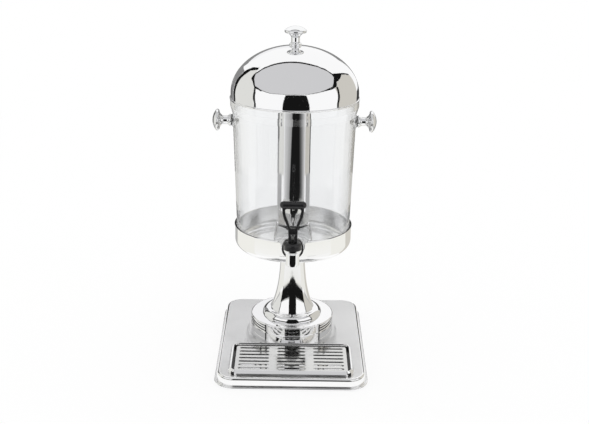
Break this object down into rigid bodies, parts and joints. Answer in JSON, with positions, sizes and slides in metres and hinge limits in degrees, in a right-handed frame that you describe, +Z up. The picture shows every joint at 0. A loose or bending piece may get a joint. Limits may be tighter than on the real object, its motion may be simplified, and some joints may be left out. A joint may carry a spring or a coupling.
{
  "type": "juice dispenser",
  "caption": "Countertop juice dispenser: a clear tapered tank with an ice tube and dome lid in a steel cradle on a turned pedestal, with a lever tap over a drip tray.",
  "frame": {"origin": "on the table, under the middle of the base plate", "axes": "+Z up; -Y towards the tap and the drip tray; +X to the right as seen from the tap's side"},
  "size_m": [0.2836, 0.347, 0.5762],
  "materials": {
    "polished_steel": "mirror polished stainless steel",
    "brushed_tray_steel": "satin stainless steel",
    "chromed_brass": "bright chrome plate",
    "clear_tank": "clear polycarbonate, glossy",
    "black_lever": "glossy black plastic",
    "black_rubber": "matt black rubber",
    "plain_steel": "plain satin steel"
  },
  "bodies": {
    "base": {"base_plate": "polished_steel", "bottom_plate": "plain_steel", "foot_front_left": "black_rubber", "foot_front_right": "black_rubber", "foot_rear_left": "black_rubber", "foot_rear_right": "black_rubber", "foot_screws": "plain_steel", "drum_ring": "polished_steel", "drum_cap": "polished_steel", "column_collar": "polished_steel", "column": "polished_steel", "tie_rod": "plain_steel", "tie_rod_washer": "plain_steel", "tie_rod_nut": "plain_steel", "cradle_bowl": "polished_steel", "bowl_washer": "plain_steel", "bowl_dome_nut": "chromed_brass"},
    "tank": {"tank": "clear_tank", "ice_tube": "polished_steel", "ice_tube_gasket": "black_rubber", "ice_tube_nut": "black_lever", "side_knob_left": "chromed_brass", "side_knob_right": "chromed_brass", "knob_seal_left": "black_rubber", "knob_seal_right": "black_rubber", "side_knob_screws": "plain_steel", "side_knob_washers": "plain_steel", "tap_body": "chromed_brass", "tap_outer_washer": "black_rubber", "tap_inner_washer": "black_rubber", "tap_nut": "chromed_brass", "tap_bonnet": "black_lever", "stem_seal": "black_rubber", "valve_spring": "plain_steel"},
    "valve": {"valve_stem": "chromed_brass", "valve_plug": "black_rubber"},
    "lever": {"tap_lever": "black_lever", "lever_pin": "plain_steel"},
    "lid": {"lid_dome": "polished_steel", "lid_knob": "chromed_brass", "lid_knob_washer": "plain_steel", "lid_knob_screw": "plain_steel"},
    "drip_tray": {"drip_pan": "polished_steel"},
    "grille": {"drip_grille": "brushed_tray_steel"}
  },
  "joints": [
    {"name": "tank_lift", "type": "slide", "parent": "base", "child": "tank", "axis": [0, 0, 1], "range_m": [0, 0.09]},
    {"name": "lid_lift", "type": "slide", "parent": "tank", "child": "lid", "axis": [0, 0, 1], "range_m": [0, 0.12]},
    {"name": "valve_lift", "type": "slide", "parent": "tank", "child": "valve", "axis": [0, 0, 1], "range_m": [0, 0.0027], "deforming": ["valve_spring"]},
    {"name": "lever_tilt", "type": "hinge", "parent": "valve", "child": "lever", "pos_m": [0, -0.107, 0.248], "axis": [1, 0, 0], "range_deg": [0, 35], "stiffness_Nm_per_rad": 0.4, "springref_deg": -11.46},
    {"name": "tray_lift", "type": "slide", "parent": "base", "child": "drip_tray", "axis": [0, 0, 1], "range_m": [0, 0.06]},
    {"name": "grille_lift", "type": "slide", "parent": "drip_tray", "child": "grille", "axis": [0, 0, 1], "range_m": [0, 0.05]}
  ],
  "couplings": [
    {"joint": "valve_lift", "follows": "lever_tilt", "m_per_rad": 0.0043}
  ]
}
